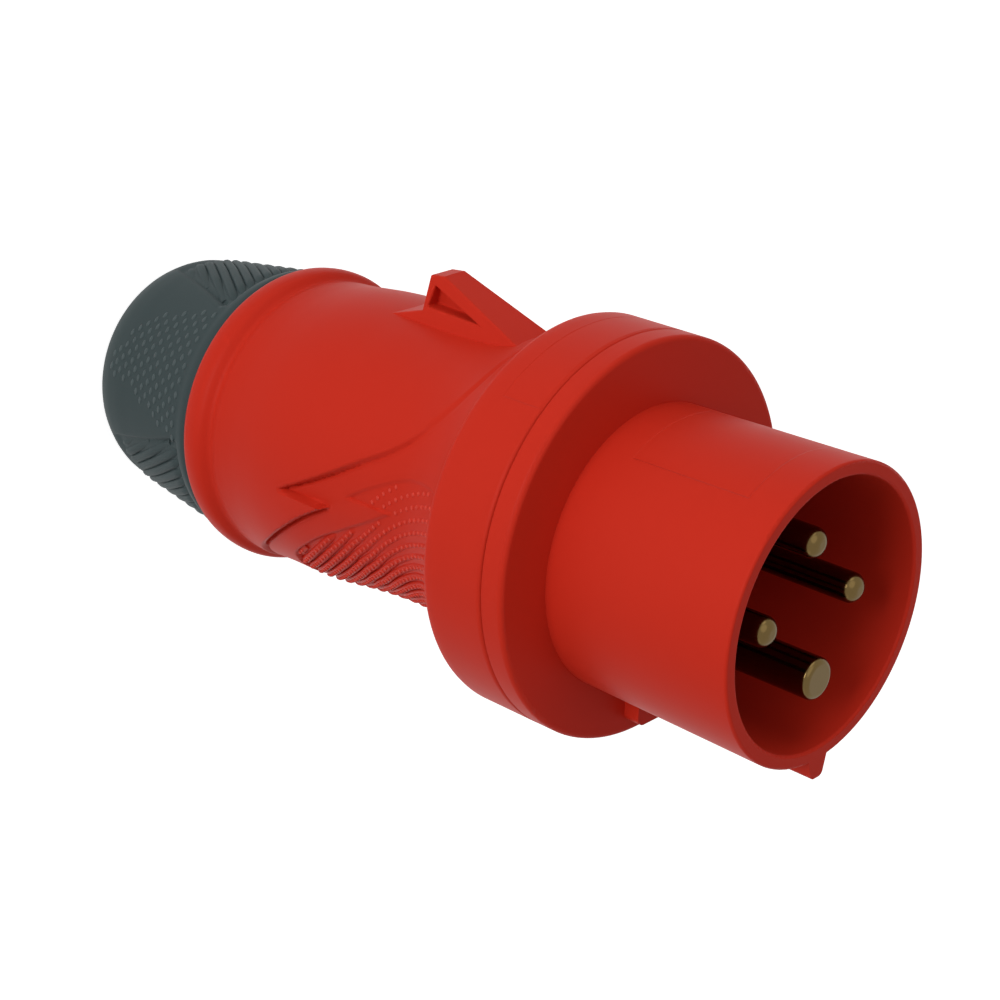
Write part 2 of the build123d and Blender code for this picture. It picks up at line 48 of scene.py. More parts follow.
# View, floor and light
viewSettings = {
    "location": (0.2514, -0.1456, 0.3293),
    "right": (-0.6962, -0.0159, 0.7177),
    "up": (-0.2696, -0.9208, -0.2819),
    "lens": 79.38,
    "shift": -0.005,
    "sensor": 36.0,
    "nearest": 0.01,
}
floorSettings = {"radius": 3.0, "colour": (0.84, 0.84, 0.84), "lift": 0.8}
skyLevel = 0.32


def makeCamera():
    data = bpy.data.cameras.new("viewCamera")
    data.lens = viewSettings["lens"]
    data.sensor_width = viewSettings["sensor"]
    data.shift_x = viewSettings["shift"]
    data.clip_start = viewSettings["nearest"]
    camera = bpy.data.objects.new("viewCamera", data)
    bpy.context.scene.collection.objects.link(camera)
    right = Vector(viewSettings["right"]).normalized()
    back = right.cross(Vector(viewSettings["up"])).normalized()
    up = back.cross(right)
    turn = Matrix((right, up, back)).transposed().to_4x4()
    camera.matrix_world = Matrix.Translation(viewSettings["location"]) @ turn
    bpy.context.scene.camera = camera


def newMaterial(name):
    material = bpy.data.materials.new(name)
    material.use_nodes = True
    tree = material.node_tree
    return material, tree, tree.nodes["Principled BSDF"]


def addMath(tree, operation, first, second):
    # Adds one math node fed by sockets or plain numbers, and returns what it puts out
    node = tree.nodes.new("ShaderNodeMath")
    node.operation = operation
    for slot, value in enumerate((first, second)):
        if isinstance(value, (int, float)):
            node.inputs[slot].default_value = value
        elif value is not None:
            tree.links.new(value, node.inputs[slot])
    return node.outputs[0]


def seenRays(tree):
    # 1 for camera, mirror and glass rays, 0 for every other ray
    rays = tree.nodes.new("ShaderNodeLightPath").outputs
    most = addMath(tree, "MAXIMUM", rays["Is Camera Ray"], rays["Is Glossy Ray"])
    return addMath(tree, "MAXIMUM", most, rays["Is Transmission Ray"])


def makeStage():
    bpy.ops.mesh.primitive_circle_add(vertices=96, radius=floorSettings["radius"], fill_type="NGON")
    floor = bpy.context.object
    floor.name = "floor"
    material, tree, shader = newMaterial("paleFloor")
    shader.inputs["Base Color"].default_value = (*floorSettings["colour"], 1)
    shader.inputs["Roughness"].default_value = 0.9
    shader.inputs["Specular IOR Level"].default_value = 0.0
    # Lifted to white where it is seen, so that only the shadow on it shows
    lift = addMath(tree, "MULTIPLY", seenRays(tree), floorSettings["lift"])
    tree.links.new(lift, shader.inputs["Emission Strength"])
    floor.data.materials.append(material)
    world = bpy.data.worlds.new("studio")
    bpy.context.scene.world = world
    world.use_nodes = True
    sky = world.node_tree.nodes["Background"]
    sky.inputs["Color"].default_value = (1, 1, 1, 1)
    # White where it is seen, a soft level of light where it only lights
    tree = world.node_tree
    level = tree.nodes.new("ShaderNodeMix")
    level.inputs[2].default_value = skyLevel
    level.inputs[3].default_value = 1.0
    tree.links.new(seenRays(tree), level.inputs[0])
    tree.links.new(level.outputs[0], sky.inputs["Strength"])


lamps = [
    # name, place, size, watts
    ("keyLamp", (0.92, -0.44, 0.08), 0.6, 7.1),
    ("topLamp", (-0.05, -1.0, 0.30), 0.7, 1.3),
    ("lowLamp", (0.55, 0.85, 0.30), 0.7, 0.3),
    ("frontLamp", (0.3, -0.6, 0.95), 1.0, 1.5),
]
lampAim = (0, 0, 0.08)


def makeLamps():
    for name, place, size, watts in lamps:
        data = bpy.data.lights.new(name, "AREA")
        data.shape = "DISK"
        data.size = size
        data.energy = watts
        lamp = bpy.data.objects.new(name, data)
        bpy.context.scene.collection.objects.link(lamp)
        lamp.location = place
        aim = Vector(lampAim) - Vector(place)
        lamp.rotation_euler = aim.to_track_quat("-Z", "Y").to_euler()


print("camera, floor and lamps")
makeCamera()
makeStage()
makeLamps()

# Finishes
grainSettings = {"Scale": 2600.0, "Strength": 0.12, "Depth": 0.00004}
# metres for each degree of turn, half width of the soft edge, strength and depth of the step
fieldSettings = {"perDegree": 0.0005, "softness": 0.00012, "strength": 0.8, "depth": 0.00012}


def makeGrainGroup():
    # Normal of a fine moulded grain at a place on the piece
    tree = bpy.data.node_groups.new("mouldedGrain", "ShaderNodeTree")
    tree.interface.new_socket("Normal", in_out="OUTPUT", socket_type="NodeSocketVector")
    tree.interface.new_socket("Place", in_out="INPUT", socket_type="NodeSocketVector")
    for label in grainSettings:
        tree.interface.new_socket(label, in_out="INPUT", socket_type="NodeSocketFloat")
    enter, leave = tree.nodes.new("NodeGroupInput").outputs, tree.nodes.new("NodeGroupOutput")
    noise = tree.nodes.new("ShaderNodeTexNoise")
    tree.links.new(enter["Place"], noise.inputs["Vector"])
    tree.links.new(enter["Scale"], noise.inputs["Scale"])
    fine = tree.nodes.new("ShaderNodeBump")
    tree.links.new(enter["Strength"], fine.inputs["Strength"])
    tree.links.new(enter["Depth"], fine.inputs["Distance"])
    tree.links.new(noise.outputs[0], fine.inputs["Height"])
    tree.links.new(fine.outputs[0], leave.inputs[0])
    return tree


def makeFieldGroup():
    # Mask of a shallow field on the outside: half its width in degrees from the lug's side, its two heights
    tree = bpy.data.node_groups.new("mouldedField", "ShaderNodeTree")
    tree.interface.new_socket("Mask", in_out="OUTPUT", socket_type="NodeSocketFloat")
    for label in ("Turn", "Height", "HalfTurn", "Rear", "Front"):
        tree.interface.new_socket(label, in_out="INPUT", socket_type="NodeSocketFloat")
    enter, leave = tree.nodes.new("NodeGroupInput").outputs, tree.nodes.new("NodeGroupOutput")
    fromSide = addMath(tree, "SUBTRACT", enter["HalfTurn"], enter["Turn"])
    fromSide = addMath(tree, "MULTIPLY", fromSide, fieldSettings["perDegree"])
    fromRear = addMath(tree, "SUBTRACT", enter["Height"], enter["Rear"])
    fromFront = addMath(tree, "SUBTRACT", enter["Front"], enter["Height"])
    nearest = addMath(tree, "MINIMUM", addMath(tree, "MINIMUM", fromRear, fromFront), fromSide)
    soft = tree.nodes.new("ShaderNodeMapRange")
    soft.inputs["From Min"].default_value = -fieldSettings["softness"]
    soft.inputs["From Max"].default_value = fieldSettings["softness"]
    tree.links.new(nearest, soft.inputs["Value"])
    tree.links.new(soft.outputs[0], leave.inputs[0])
    return tree


fields = [
    # half width in degrees, rear and front height in mm: on the grip ring, on the collar
    (37.0, 108.0, 116.0),
    (31.0, 127.5, 150.0),
]
grainGroup = makeGrainGroup()
fieldGroup = makeFieldGroup()


def makePlastic(name, colour, roughness, gloss, fieldList=()):
    material, tree, shader = newMaterial(name)
    shader.inputs["Base Color"].default_value = (*colour, 1)
    shader.inputs["Roughness"].default_value = roughness
    shader.inputs["Specular IOR Level"].default_value = gloss
    where = tree.nodes.new("ShaderNodeTexCoord")
    grain = tree.nodes.new("ShaderNodeGroup")
    grain.node_tree = grainGroup
    tree.links.new(where.outputs["Object"], grain.inputs["Place"])
    for label, value in grainSettings.items():
        grain.inputs[label].default_value = value
    normal = grain.outputs["Normal"]
    if fieldList:
        parts = tree.nodes.new("ShaderNodeSeparateXYZ")
        tree.links.new(where.outputs["Object"], parts.inputs[0])
        toLug = addMath(tree, "MULTIPLY", parts.outputs["Y"], -1.0)
        turn = addMath(tree, "ARCTAN2", parts.outputs["X"], toLug)
        degrees = addMath(tree, "DEGREES", addMath(tree, "ABSOLUTE", turn, None), None)
        for halfTurn, rear, front in fieldList:
            field = tree.nodes.new("ShaderNodeGroup")
            field.node_tree = fieldGroup
            tree.links.new(degrees, field.inputs["Turn"])
            tree.links.new(parts.outputs["Z"], field.inputs["Height"])
            field.inputs["HalfTurn"].default_value = halfTurn
            field.inputs["Rear"].default_value = rear * mm
            field.inputs["Front"].default_value = front * mm
            step = tree.nodes.new("ShaderNodeBump")
            step.inputs["Strength"].default_value = fieldSettings["strength"]
            step.inputs["Distance"].default_value = -fieldSettings["depth"]
            tree.links.new(field.outputs["Mask"], step.inputs["Height"])
            tree.links.new(normal, step.inputs["Normal"])
            normal = step.outputs[0]
    tree.links.new(normal, shader.inputs["Normal"])
    return material


def makeMetal(name, colour, roughness):
    material, _, shader = newMaterial(name)
    shader.inputs["Base Color"].default_value = (*colour, 1)
    shader.inputs["Metallic"].default_value = 1.0
    shader.inputs["Roughness"].default_value = roughness
    return material


finishes = {
    "red_plastic": makePlastic("redPlastic", (0.555, 0.026, 0.012), 0.45, 0.05, fields),
    "grey_plastic": makePlastic("greyPlastic", (0.047, 0.065, 0.067), 0.5, 0.04),
    "insulator": makePlastic("insulatorPlastic", (0.05, 0.05, 0.055), 0.5, 0.2),
    "pin_brass": makeMetal("pinBrass", (0.13, 0.086, 0.032), 0.2),
    "screw_steel": makeMetal("screwSteel", (0.62, 0.62, 0.6), 0.3),
    # Lighter shades of the two plastics for the moulded dots: painted sheen, standing in for the light their
    # raised tops catch
    "red_dots": makePlastic("redDotsPaintedSheen", (0.64, 0.055, 0.035), 0.45, 0.1),
    "grey_dots": makePlastic("greyDotsPaintedSheen", (0.066, 0.088, 0.09), 0.5, 0.1),
    "seal_rubber": makePlastic("sealRubber", (0.03, 0.03, 0.03), 0.7, 0.2),
}

for part in frame["record"]["subparts"]:
    node = nodes[part["node"]]
    node.data.materials.clear()
    node.data.materials.append(finishes[part["material_slot"]])


# Shape helpers


def smoothThrough(pairs, at):
    # Smooth curve through (place, value) pairs, read at many places
    places = np.array([pair[0] for pair in pairs], float)
    values = np.array([pair[1] for pair in pairs], float)
    slopes = np.gradient(values, places)
    at = np.clip(at, places[0], places[-1])
    low = np.clip(np.searchsorted(places, at) - 1, 0, len(places) - 2)
    step = places[low + 1] - places[low]
    t = (at - places[low]) / step
    rising = t * t * (3 - 2 * t)
    start = values[low] + (values[low + 1] - values[low]) * rising
    return start + step * (slopes[low] * t * (1 - t) ** 2 - slopes[low + 1] * t * t * (1 - t))


def smoothPath(points, pieces=8):
    # Points of a smooth line through the given points
    points = np.array(points, float)
    lengths = np.concatenate(([0], np.cumsum(np.hypot(*np.diff(points, axis=0).T))))
    at = np.interp(np.arange(pieces * (len(points) - 1) + 1) / pieces, np.arange(len(points)), lengths)
    sides = [smoothThrough(list(zip(lengths, points[:, axis])), at) for axis in (0, 1)]
    return list(zip(*sides))


def insideBy(outline, first, second):
    # Distance in mm from each place to a closed outline, positive inside it
    best = np.full(first.shape, 1e9)
    inside = np.zeros(first.shape, bool)
    for (ax, ay), (bx, by) in zip(outline, outline[1:] + outline[:1]):
        ex, ey = bx - ax, by - ay
        length = ex * ex + ey * ey
        if length < 1e-9:
            continue
        t = np.clip(((first - ax) * ex + (second - ay) * ey) / length, 0, 1)
        best = np.minimum(best, np.hypot(first - ax - t * ex, second - ay - t * ey))
        if ay != by:
            inside ^= ((ay > second) != (by > second)) & (first < ex * (second - ay) / ey + ax)
    return np.where(inside, best, -best)


def ramp(distance, width):
    t = np.clip(distance / width + 0.5, 0, 1)
    return t * t * (3 - 2 * t)


def offAxis(radius, rise, turn):
    # Distance from the axis to a round section that sits off it by rise, towards the catch lug
    toLug = rise * np.cos(turn)
    return toLug + np.sqrt(toLug ** 2 + radius ** 2 - rise ** 2)


def place(radius, turn, height):
    # Millimetres round the axis, turn measured from the catch lug, to metres in the row frame
    return np.stack((radius * np.sin(turn), -radius * np.cos(turn), height + 0 * turn), axis=-1) * mm


def meshFrom(name, points, faces, edges=()):
    mesh = bpy.data.meshes.new(name)
    mesh.from_pydata([tuple(point) for point in points], list(edges), [tuple(face) for face in faces])
    mesh.update()
    piece = bpy.data.objects.new(name, mesh)
    bpy.context.scene.collection.objects.link(piece)
    return piece


def ringedSolid(name, rows, turn):
    # Closed solid from rows of points that run round the axis and come back to the first row
    columns = len(turn)
    points = np.concatenate([place(radius + 0 * turn, turn, height + 0 * turn) for radius, height in rows])
    count = len(rows)
    row, column = np.meshgrid(np.arange(count), np.arange(columns), indexing="ij")
    nextRow, nextColumn = (row + 1) % count, (column + 1) % columns
    corners = [(row, column), (row, nextColumn), (nextRow, nextColumn), (nextRow, column)]
    faces = np.stack([a * columns + b for a, b in corners], axis=-1).reshape(-1, 4)
    piece = meshFrom(name, points, faces.tolist())
    piece.data.polygons.foreach_set("use_smooth", [True] * len(piece.data.polygons))
    return piece


def sharpen(piece, angle):
    # Keeps corners sharper than this angle crisp
    piece.data.set_sharp_from_angle(angle=math.radians(angle))


def finishPiece(piece, slotName, body):
    piece.data.materials.clear()
    piece.data.materials.append(finishes[slotName])
    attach(piece, body)


# Node trees that repeat a shape along a surface


def newTree(name, inputs):
    tree = bpy.data.node_groups.new(name, "GeometryNodeTree")
    tree.interface.new_socket("Geometry", in_out="INPUT", socket_type="NodeSocketGeometry")
    tree.interface.new_socket("Geometry", in_out="OUTPUT", socket_type="NodeSocketGeometry")
    for label, kind, value in inputs:
        socket = tree.interface.new_socket(label, in_out="INPUT", socket_type=kind)
        if value is not None:
            socket.default_value = value
    return tree, tree.nodes.new("NodeGroupInput"), tree.nodes.new("NodeGroupOutput")


def chain(tree, geometry, *nodeTypes):
    # Adds nodes one after another along the geometry socket and returns them
    made = []
    for nodeType in nodeTypes:
        node = tree.nodes.new(nodeType)
        entry = next(socket for socket in node.inputs if socket.type == "GEOMETRY")
        tree.links.new(geometry, entry)
        geometry = node.outputs[0]
        made.append(node)
    return made


def endTree(tree, enter, leave, geometry):
    paint = chain(
        tree,
        geometry,
        "GeometryNodeSetShadeSmooth",
        "GeometryNodeRealizeInstances",
        "GeometryNodeSetMaterial",
    )[-1]
    tree.links.new(enter.outputs["finish"], paint.inputs["Material"])
    tree.links.new(paint.outputs[0], leave.inputs[0])


def makeBarTree():
    # Round bars laid along the lines of a wire mesh
    tree, enter, leave = newTree("barsAlongLines", [
        ("barRadius", "NodeSocketFloat", 0.0006),
        ("barSides", "NodeSocketInt", 10),
        ("finish", "NodeSocketMaterial", None),
    ])
    toMesh = chain(
        tree, enter.outputs["Geometry"], "GeometryNodeMeshToCurve", "GeometryNodeCurveToMesh"
    )[-1]
    profile = tree.nodes.new("GeometryNodeCurvePrimitiveCircle")
    tree.links.new(enter.outputs["barRadius"], profile.inputs["Radius"])
    tree.links.new(enter.outputs["barSides"], profile.inputs["Resolution"])
    tree.links.new(profile.outputs[0], toMesh.inputs["Profile Curve"])
    toMesh.inputs["Fill Caps"].default_value = True
    endTree(tree, enter, leave, toMesh.outputs[0])
    return tree


def makeDotTree():
    # Small domes on loose points, set up by each point's surface direction and its line's direction
    tree, enter, leave = newTree("dotsOnSurface", [
        ("dotSize", "NodeSocketVector", (0.001, 0.001, 0.0005)),
        ("sizeSpread", "NodeSocketFloat", 0.08),
        ("seed", "NodeSocketInt", 7),
        ("finish", "NodeSocketMaterial", None),
    ])
    onPoints = chain(
        tree, enter.outputs["Geometry"], "GeometryNodeMeshToPoints", "GeometryNodeInstanceOnPoints"
    )[-1]
    ball = tree.nodes.new("GeometryNodeMeshUVSphere")
    ball.inputs["Segments"].default_value = 8
    ball.inputs["Rings"].default_value = 5
    ball.inputs["Radius"].default_value = 0.5
    tree.links.new(ball.outputs[0], onPoints.inputs["Instance"])
    axes = tree.nodes.new("FunctionNodeAxesToRotation")
    axes.primary_axis = "Z"
    axes.secondary_axis = "X"
    for label, socket in (("outward", axes.inputs[0]), ("along", axes.inputs[1])):
        read = tree.nodes.new("GeometryNodeInputNamedAttribute")
        read.data_type = "FLOAT_VECTOR"
        read.inputs["Name"].default_value = label
        tree.links.new(read.outputs[0], socket)
    tree.links.new(axes.outputs[0], onPoints.inputs["Rotation"])
    spread = tree.nodes.new("FunctionNodeRandomValue")
    limits = [socket for socket in spread.inputs if socket.type == "VALUE"]
    for operation, limit in zip(("SUBTRACT", "ADD"), limits):
        tree.links.new(addMath(tree, operation, 1.0, enter.outputs["sizeSpread"]), limit)
    tree.links.new(enter.outputs["seed"], spread.inputs["Seed"])
    scaled = tree.nodes.new("ShaderNodeVectorMath")
    scaled.operation = "SCALE"
    tree.links.new(enter.outputs["dotSize"], scaled.inputs[0])
    amount = next(socket for socket in spread.outputs if socket.type == "VALUE")
    tree.links.new(amount, scaled.inputs["Scale"])
    tree.links.new(scaled.outputs[0], onPoints.inputs["Scale"])
    endTree(tree, enter, leave, onPoints.outputs[0])
    return tree


def growTree(source, tree, values):
    # Runs a node tree on a source mesh and keeps the result as a plain mesh
    modifier = source.modifiers.new(tree.name, "NODES")
    modifier.node_group = tree
    sockets = {item.name: item.identifier for item in tree.interface.items_tree if item.in_out == "INPUT"}
    for label, value in values.items():
        modifier[sockets[label]] = value
    bpy.context.view_layer.update()
    grown = bpy.data.meshes.new_from_object(source.evaluated_get(bpy.context.evaluated_depsgraph_get()))
    source.modifiers.remove(modifier)
    source.data = grown
    return source


barTree = makeBarTree()
dotTree = makeDotTree()


def makeBars(name, lines, radius, slotName, body, sides=10):
    points = np.concatenate(lines)
    edges, start = [], 0
    for line in lines:
        edges += [(start + i, start + i + 1) for i in range(len(line) - 1)]
        start += len(line)
    bars = meshFrom(name, points, [], edges)
    growTree(bars, barTree, {"barRadius": radius * mm, "barSides": sides, "finish": finishes[slotName]})
    finishPiece(bars, slotName, body)
    return bars


def makeDots(name, points, outward, along, size, slotName, body, seed, spread=0.08):
    # The dots take a lighter shade of their plastic, the one named after the slot's colour: painted sheen
    # standing in for the light caught by their raised tops
    paintedSheen = finishes[slotName.split("_")[0] + "_dots"]
    dots = meshFrom(name, points, [])
    for label, values in (("outward", outward), ("along", along)):
        attribute = dots.data.attributes.new(label, "FLOAT_VECTOR", "POINT")
        attribute.data.foreach_set("vector", np.asarray(values, float).ravel())
    growTree(dots, dotTree, {
        "dotSize": [side * mm for side in size], "sizeSpread": spread, "seed": seed, "finish": paintedSheen,
    })
    finishPiece(dots, slotName, body)
    dots.data.materials[0] = paintedSheen
    return dots


# Rear housing
housing = {
    "rearZ": 34.65,
    "frontZ": 116.3,
    "ringRearZ": 103.3,
    "ringRadius": 34.1,
    "ringRise": 0.95,
    "ringRound": 1.2,
    "frontRound": 0.35,
    "barrelRadius": 27.7,
    # height and radius of the barrel's skin
    "skin": [
        (34.65, 26.55), (34.9, 26.85), (35.5, 27.25), (36.5, 27.5), (37.6, 27.6), (38.8, 27.5),
        (39.7, 27.15), (40.4, 26.45), (40.85, 26.05), (41.3, 26.0), (42.2, 26.15), (44.5, 26.3),
        (47, 26.5), (50, 26.85), (55, 27.4), (60, 27.7), (70, 27.8), (82, 27.7), (90, 28.15),
        (95, 29.0), (99, 30.3), (103.3, 32.4),
    ],
    # height, step in from the barrel's radius, rise off the axis: the grip surface
    "gripStep": [
        (38, 1.6), (49.5, 1.6), (60, 1.3), (70, 1.7), (82, 1.9), (92, 1.3), (98.3, -0.9), (104.3, -4.3),
    ],
    "gripRise": [
        (38, 0.0), (49.5, 0.5), (60, 1.08), (70, 2.0), (82, 2.7), (92, 2.7), (98.3, 1.9), (104.3, 0.95),
    ],
    "leastStep": 0.25,
    "edgeWidth": 0.38,
    # crease along the foot of the step: depth at its rear and front end, width
    "crease": (0.55, 0.12, 0.34),
    # how far it lies inside the outline, the height where it starts to fade, and over what length
    "creasePlace": (0.2, 56, 30),
    "rowStep": 0.36,
    # degrees between columns on the lug's side and on the grip
    "columnSteps": (1.8, 0.66),
    # neck inside the nut, and the cable's seat in it
    "neckRadius": 19.0,
    "neckRearZ": 16.0,
    "neckChamfer": 0.4,
    "neckBore": 16.5,
    "seatRadius": 11.6,
    "seatFrontZ": 39.0,
    # chamber for the wires: radius of its floor, its own radius, rise off the axis, inset, two heights
    "floorRadius": 21.5,
    "chamber": (22.0, 2.0, 0.3, 80.0, 97.0),
    # bore for the front part, and the shelf behind it
    "boreRadius": 29.3,
    "shelfRadius": 26.2,
    "shelfZ": 102.7,
}
# Outlines on both flanks, as height and distance below the axis
upperEdge = smoothPath([(97.35, -40), (97.3, -32), (97.2, -28.8), (96.6, -25.6), (95.4, -23.0), (93.2, -19.8),
                        (89.9, -16.2), (86.7, -13.8), (79.6, -9.8), (71.9, -5.4), (61.5, 0.0)])
tongueEdge = smoothPath([(72.4, 0.3), (66.2, 4.0), (59.9, 8.5), (53.2, 13.5), (46.3, 18.9), (42.5, 24.0)])
reliefOutline = upperEdge + tongueEdge + [(42.5, 40), (120, 40), (120, -40)]
padTop = smoothPath([(110.0, -9.0), (104, -9.6), (99, -10.8), (94.3, -10.5), (91.1, -9.8), (85.6, -7.5),
                     (80.3, -4.8), (76.8, -2.6)])
padLow = smoothPath([(87.2, -2.8), (80.7, 0.9), (74.7, 4.2), (67.8, 8.1), (62.4, 11.8), (57.6, 15.8),
                     (56.2, 19.0), (56.0, 24.0)])
padOutline = padTop + padLow + [(56.0, 40), (110, 40)]
pads = {
    "topDepth": 0.42,
    "lowDepth": 0.9,
    "edgeWidth": 0.4,
    # one rib's line: height and distance round the flank from its middle
    "ribLine": [
        (50, 34.9), (56, 28.9), (62.4, 22.8), (69.4, 16.0), (73, 12.5), (76.2, 9.3), (79.6, 6.3),
        (82.8, 3.3), (86.1, 0.5), (89.3, -1.7), (92.2, -3.3), (95.9, -4.9), (99.4, -6.1), (104, -7.3),
    ],
    # heights from, to and between the points of a rib's line, and range of the ribs' numbers
    "ribHeights": (50.0, 104.0, 0.7),
    "ribRange": (-4, 19),
    "ribMargin": 0.35,
    "ribPitchFront": 2.22,
    "ribPitchRear": 2.45,
    "ribRadius": 0.8,
    # how far the ribs sink at their ends and towards the underside
    "endSink": 0.45,
    "lowSink": 0.42,
    "dotPitch": 1.7,
    # bare length before the first and after the last dot of a rib
    "dotEnds": (0.8, 0.6),
    "dotSize": (0.62, 0.8, 0.4),
    "seed": 11,
}


def gripRadius(height, turn):
    step = smoothThrough(housing["gripStep"], height)
    return offAxis(housing["barrelRadius"] - step, smoothThrough(housing["gripRise"], height), turn)


def padFloorDepth(below):
    return pads["topDepth"] + (pads["lowDepth"] - pads["topDepth"]) * ramp(below - 4.0, 26.0)


def barrelRadius(height, turn):
    skin = smoothThrough(housing["skin"], height)
    grip = gripRadius(height, turn)
    inside = insideBy(reliefOutline, height, -skin * np.cos(turn))
    relief = ramp(inside, housing["edgeWidth"])
    rear, front, width = housing["crease"]
    offset, fadeStart, fadeLength = housing["creasePlace"]
    along = np.clip((height - fadeStart) / fadeLength, 0, 1)
    crease = np.exp(-(((inside - offset) / width) ** 2)) * (rear + (front - rear) * along)
    # None along the tongue's short edge, which slopes up into the light
    shortEdge = np.abs(insideBy([upperEdge[-1], tongueEdge[0]], height, -skin * np.cos(turn)))
    crease = crease * ramp(shortEdge - 0.7, 0.8)
    below = -grip * np.cos(turn)
    pad = ramp(insideBy(padOutline, height, below), pads["edgeWidth"])
    step = np.maximum(skin - grip, housing["leastStep"])
    return skin - crease - relief * (step + pad * padFloorDepth(below))


def makeHousing():
    wide, fine = housing["columnSteps"]
    near = np.concatenate((np.arange(0, 50, wide), np.arange(50, 180, fine)))
    turn = np.radians(np.concatenate((near, 360 - near[:0:-1])))
    ring = offAxis(housing["ringRadius"], housing["ringRise"], turn)
    front, rear, ringRear = housing["frontZ"], housing["rearZ"], housing["ringRearZ"]
    bore, neck, neckBore = housing["boreRadius"], housing["neckRadius"], housing["neckBore"]
    rows = [(bore, front), (ring - housing["frontRound"], front), (ring, front - housing["frontRound"])]
    rows += [(ring, height) for height in np.linspace(front - 1, ringRear + housing["ringRound"], 8)]
    for angle in (30, 60, 90):
        curve = math.radians(angle)
        inward = housing["ringRound"] * (1 - math.cos(curve))
        rows.append((ring - inward, ringRear + housing["ringRound"] * (1 - math.sin(curve))))
    count = int((ringRear - rear) / housing["rowStep"]) + 1
    heights = np.linspace(ringRear, rear, count)
    grid, turns = np.meshgrid(heights, turn, indexing="ij")
    skin = barrelRadius(grid, turns)
    rows += list(zip(skin, heights))
    tip, chamfer = housing["neckRearZ"], housing["neckChamfer"]
    rows += [(neck, rear), (neck, tip + chamfer), (neck - chamfer, tip), (neckBore, tip), (neckBore, rear)]
    seat, seatFront = housing["seatRadius"], housing["seatFrontZ"]
    rows += [(seat, rear), (seat, seatFront), (housing["floorRadius"], seatFront)]
    radius, rise, inset, chamberRear, chamberFront = housing["chamber"]
    chamber = offAxis(radius, rise, turn) - inset
    rows += [(chamber, chamberRear), (chamber, chamberFront)]
    rows += [(housing["shelfRadius"], housing["shelfZ"]), (bore, housing["shelfZ"])]
    piece = ringedSolid("housingShell", rows, turn)
    sharpen(piece, 50)
    finishPiece(piece, "red_plastic", "housing")
    return piece


def onFlank(height, side, mirror):
    # Turn from the catch lug for a distance round the flank, on the near or the far side
    radius = gripRadius(height, np.full_like(height, math.pi / 2))
    return mirror * (math.pi / 2 + side / radius)


def padLines():
    # Lines of the ribs, each a shifted copy of one line, kept inside the pad's outline
    lines = []
    heights = np.arange(*pads["ribHeights"])
    base = smoothThrough(pads["ribLine"], heights)
    rear = np.clip((92 - heights) / 24, 0, 1)
    pitch = pads["ribPitchFront"] + (pads["ribPitchRear"] - pads["ribPitchFront"]) * rear
    for mirror in (1, -1):
        for rib in range(*pads["ribRange"]):
            turn = onFlank(heights, base + rib * pitch, mirror)
            radius = gripRadius(heights, turn)
            below = -radius * np.cos(turn)
            distance = insideBy(padOutline, heights, below)
            keep = (distance > pads["ribMargin"]) & (np.abs(turn) < math.pi)
            edges = np.flatnonzero(np.diff(np.concatenate(([0], keep.astype(int), [0]))))
            for first, last in zip(edges[::2], edges[1::2]):
                if last - first > 3:
                    part = slice(first, last)
                    lines.append((heights[part], turn[part], radius[part], distance[part]))
    return lines


def makePads():
    lines = padLines()
    before, after = pads["dotEnds"]
    wires, points, outward, along = [], [], [], []
    for heights, turn, radius, distance in lines:
        below = -radius * np.cos(turn)
        sink = pads["endSink"] * (1 - ramp(distance - 0.6, 1.0))
        sink = sink + pads["lowSink"] * (1 - ramp(below - 9.0, 12.0))
        wires.append(place(radius - pads["ribRadius"] - sink, turn, heights))
        top = radius - np.minimum(sink, padFloorDepth(below))
        surface = place(top, turn, heights)
        steps = np.linalg.norm(np.diff(surface, axis=0), axis=1) / mm
        lengths = np.concatenate(([0], np.cumsum(steps)))
        for at in np.arange(before, lengths[-1] - after, pads["dotPitch"]):
            height, angle, reach = (np.interp(at, lengths, values) for values in (heights, turn, top))
            points.append(place(np.array(reach), np.array(angle), height))
            outward.append((math.sin(angle), -math.cos(angle), 0.0))
            direction = np.array([np.interp(at + 0.4, lengths, surface[:, axis]) for axis in range(3)])
            direction -= [np.interp(at - 0.4, lengths, surface[:, axis]) for axis in range(3)]
            along.append(direction / (np.linalg.norm(direction) + 1e-12))
    makeBars("padRibs", wires, pads["ribRadius"], "red_plastic", "housing")
    makeDots("padDots", points, outward, along, pads["dotSize"], "red_plastic", "housing", pads["seed"])


lug = {
    # height and distance from the axis, round the side
    "outline": [
        (64.6, 27.2), (72.4, 29.5), (72.9, 35.5), (76.1, 35.9), (95.6, 28.3), (95.6, 25.5), (64.6, 25.5),
    ],
    "pocket": [(74.4, 34.0), (73.5, 30.3), (85.4, 30.0)],
    # distance from the axis and half width at the foot and at the top
    "baseReach": 27.2,
    "baseHalf": 4.7,
    "topReach": 35.9,
    "topHalf": 2.5,
    # half width of the block that cuts each pocket
    "pocketHalf": 2.0,
    "web": 2.6,
    "bevel": 0.5,
}


def prism(name, outline, halfAt, shift=0.0):
    # Solid between two side outlines, its half width given by the distance from the axis
    points = []
    for side in (-1, 1):
        for height, reach in outline:
            points.append(((side * halfAt(reach) + shift) * mm, -reach * mm, height * mm))
    count = len(outline)
    faces = [tuple(range(count)), tuple(range(2 * count - 1, count - 1, -1))]
    faces += [((i + 1) % count, i, i + count, (i + 1) % count + count) for i in range(count)]
    return meshFrom(name, points, faces)


def outwardNormals(piece):
    work = bmesh.new()
    work.from_mesh(piece.data)
    bmesh.ops.remove_doubles(work, verts=work.verts, dist=1e-7)
    bmesh.ops.recalc_face_normals(work, faces=work.faces)
    work.to_mesh(piece.data)
    work.free()


def bakeModifiers(piece):
    baked = bpy.data.meshes.new_from_object(piece.evaluated_get(bpy.context.evaluated_depsgraph_get()))
    piece.modifiers.clear()
    piece.data = baked


